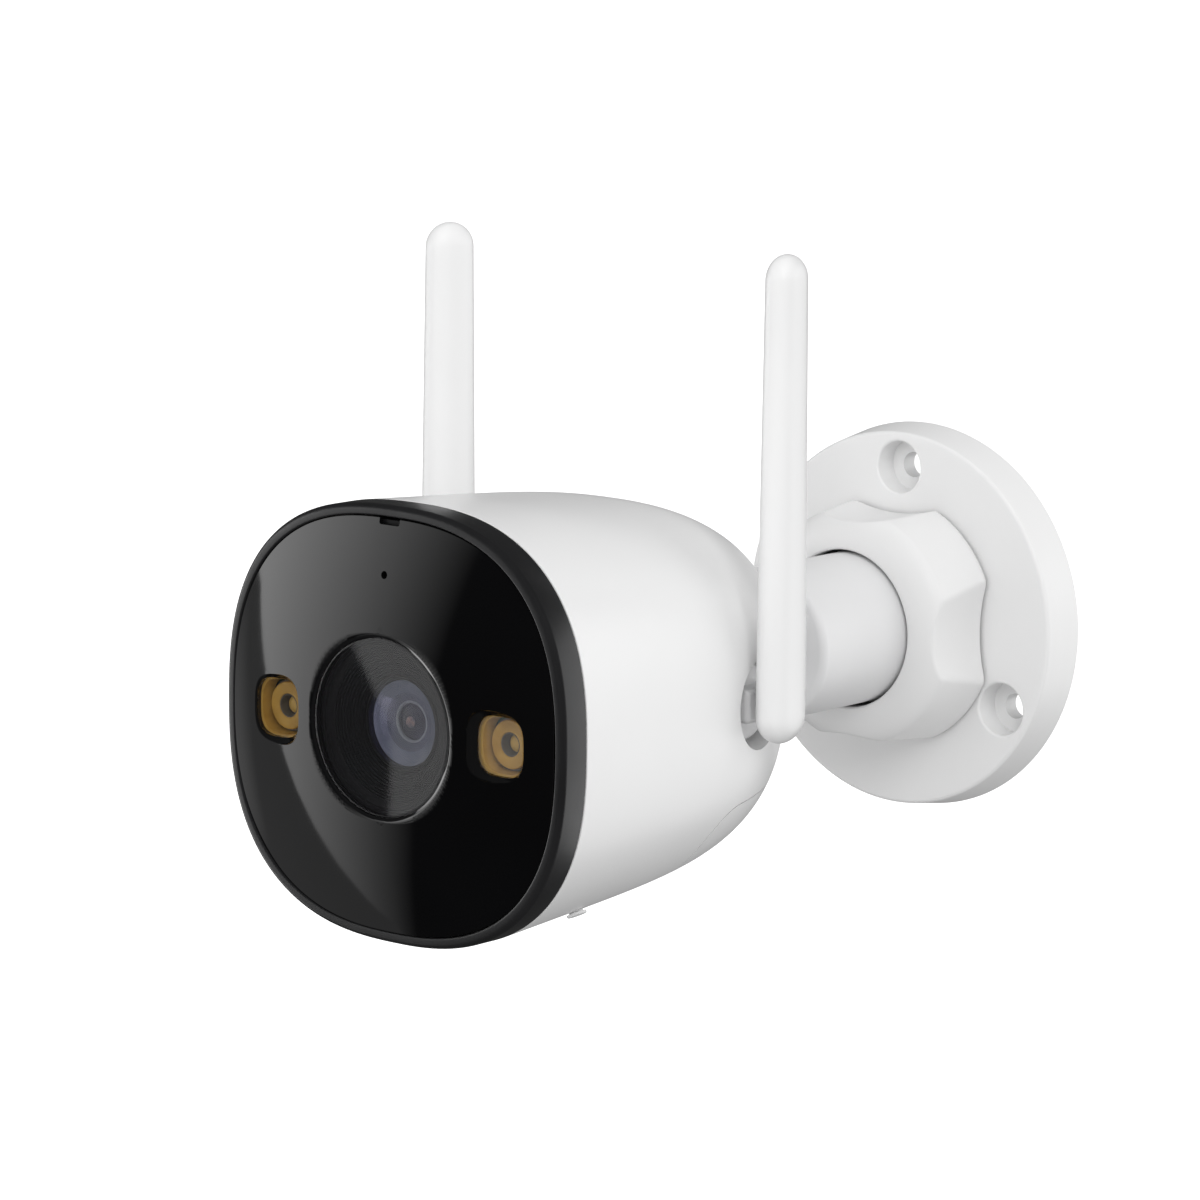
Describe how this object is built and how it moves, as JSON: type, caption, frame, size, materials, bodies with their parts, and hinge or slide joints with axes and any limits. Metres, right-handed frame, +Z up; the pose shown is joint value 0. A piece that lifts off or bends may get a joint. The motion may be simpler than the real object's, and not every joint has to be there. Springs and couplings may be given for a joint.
{
  "type": "security camera",
  "caption": "Wall-mounted bullet security camera: round plate, scalloped lock nut, jointed arm, tapering white housing, glossy black face, lamps and two rod antennas.",
  "frame": {"origin": "centre of the wall plate's flat back face", "axes": "+Y points into the wall, the camera looks along -Y, +Z is up, +X is to the right of someone who looks at the camera's face"},
  "size_m": [0.0812, 0.1449, 0.1115],
  "materials": {
    "white_plastic": "satin moulded white plastic",
    "black_plastic": "satin moulded black plastic",
    "gloss_black": "polished piano-black plastic",
    "clear_plastic": "clear polished window",
    "amber_plastic": "amber phosphor and reflector",
    "circuit_board": "green solder mask",
    "steel": "plain zinc-plated steel",
    "aluminium": "extruded, unpainted",
    "rubber": "soft black silicone",
    "filter_glass": "coated optical glass",
    "cable_white": "flat ribbon cable"
  },
  "bodies": {
    "wall": {"wall_plate": "white_plastic"},
    "clamp": {"clamp_ring": "black_plastic"},
    "nut": {"lock_nut": "white_plastic"},
    "arm": {"arm": "white_plastic", "elbow_pin": "steel"},
    "knuckle": {"elbow_knuckle": "white_plastic", "stem_retainer": "steel"},
    "head": {"housing": "white_plastic", "vent_plug": "white_plastic", "front_bezel": "black_plastic", "inner_frame": "black_plastic", "lens_hood": "black_plastic", "lens_barrel": "black_plastic", "lens_holder": "black_plastic", "reset_switch": "black_plastic", "speaker": "black_plastic", "service_tray": "black_plastic", "antenna_lead_left": "black_plastic", "antenna_lead_right": "black_plastic", "face_plate": "gloss_black", "image_sensor": "gloss_black", "lens_window": "clear_plastic", "front_lens": "clear_plastic", "rear_lens": "clear_plastic", "led_window_left": "clear_plastic", "led_window_right": "clear_plastic", "light_sensor_window": "clear_plastic", "led_reflector_left": "amber_plastic", "led_reflector_right": "amber_plastic", "sensor_board": "circuit_board", "main_board": "circuit_board", "led_board_left": "circuit_board", "led_board_right": "circuit_board", "board_screw_1": "steel", "board_screw_2": "steel", "frame_screw_1": "steel", "frame_screw_2": "steel", "frame_screw_3": "steel", "card_socket": "steel", "shield_can": "steel", "microphone": "steel", "heat_sink": "aluminium", "cable_gland": "rubber", "microphone_boot": "rubber", "sensor_cable": "cable_white"},
    "antenna_swing_left": {"antenna_left": "white_plastic", "antenna_hub_left": "white_plastic", "hub_clip_left": "steel"},
    "antenna_swing_right": {"antenna_right": "white_plastic", "antenna_hub_right": "white_plastic", "hub_clip_right": "steel"},
    "cover": {"service_cover": "white_plastic", "cover_screw": "steel"},
    "card": {"memory_card": "gloss_black"},
    "button": {"reset_button": "rubber"},
    "filter": {"ir_cut_filter": "filter_glass"}
  },
  "joints": [
    {"name": "clamp_slide", "type": "slide", "parent": "wall", "child": "clamp", "axis": [0, -1, 0], "range_m": [0, 0.0005]},
    {"name": "nut_turn", "type": "hinge", "parent": "clamp", "child": "nut", "pos_m": [0, -0.02, 0], "axis": [0, -1, 0], "range_deg": [0, 90]},
    {"name": "arm_turn", "type": "hinge", "parent": "wall", "child": "arm", "pos_m": [0, -0.02, 0], "axis": [0, -1, 0], "range_deg": [-180, 180]},
    {"name": "elbow_tilt", "type": "hinge", "parent": "arm", "child": "knuckle", "pos_m": [0, -0.054, 0], "axis": [1, 0, 0], "range_deg": [-40, 40]},
    {"name": "head_turn", "type": "hinge", "parent": "knuckle", "child": "head", "pos_m": [0, -0.0625, 0], "axis": [0, -1, 0], "range_deg": [-90, 90]},
    {"name": "antenna_turn_left", "type": "hinge", "parent": "head", "child": "antenna_swing_left", "pos_m": [-0.026, -0.086, -0.0009], "axis": [1, 0, 0], "range_deg": [-30, 40]},
    {"name": "antenna_turn_right", "type": "hinge", "parent": "head", "child": "antenna_swing_right", "pos_m": [0.026, -0.086, -0.0009], "axis": [1, 0, 0], "range_deg": [-30, 40]},
    {"name": "cover_slide", "type": "slide", "parent": "head", "child": "cover", "axis": [0, 0, -1], "range_m": [0, 0.025]},
    {"name": "card_slide", "type": "slide", "parent": "head", "child": "card", "axis": [0, 0, -1], "range_m": [0, 0.012]},
    {"name": "reset_press", "type": "slide", "parent": "head", "child": "button", "axis": [0, 0, 1], "range_m": [0, 0.0004], "stiffness_N_per_m": 1200, "springref_m": -0.0006},
    {"name": "filter_slide", "type": "slide", "parent": "head", "child": "filter", "axis": [1, 0, 0], "range_m": [0, 0.0065]}
  ],
  "couplings": [
    {"joint": "clamp_slide", "follows": "nut_turn", "m_per_rad": 0.00031831},
    {"joint": "card_slide", "follows": "cover_slide", "ratio": 0.48}
  ]
}
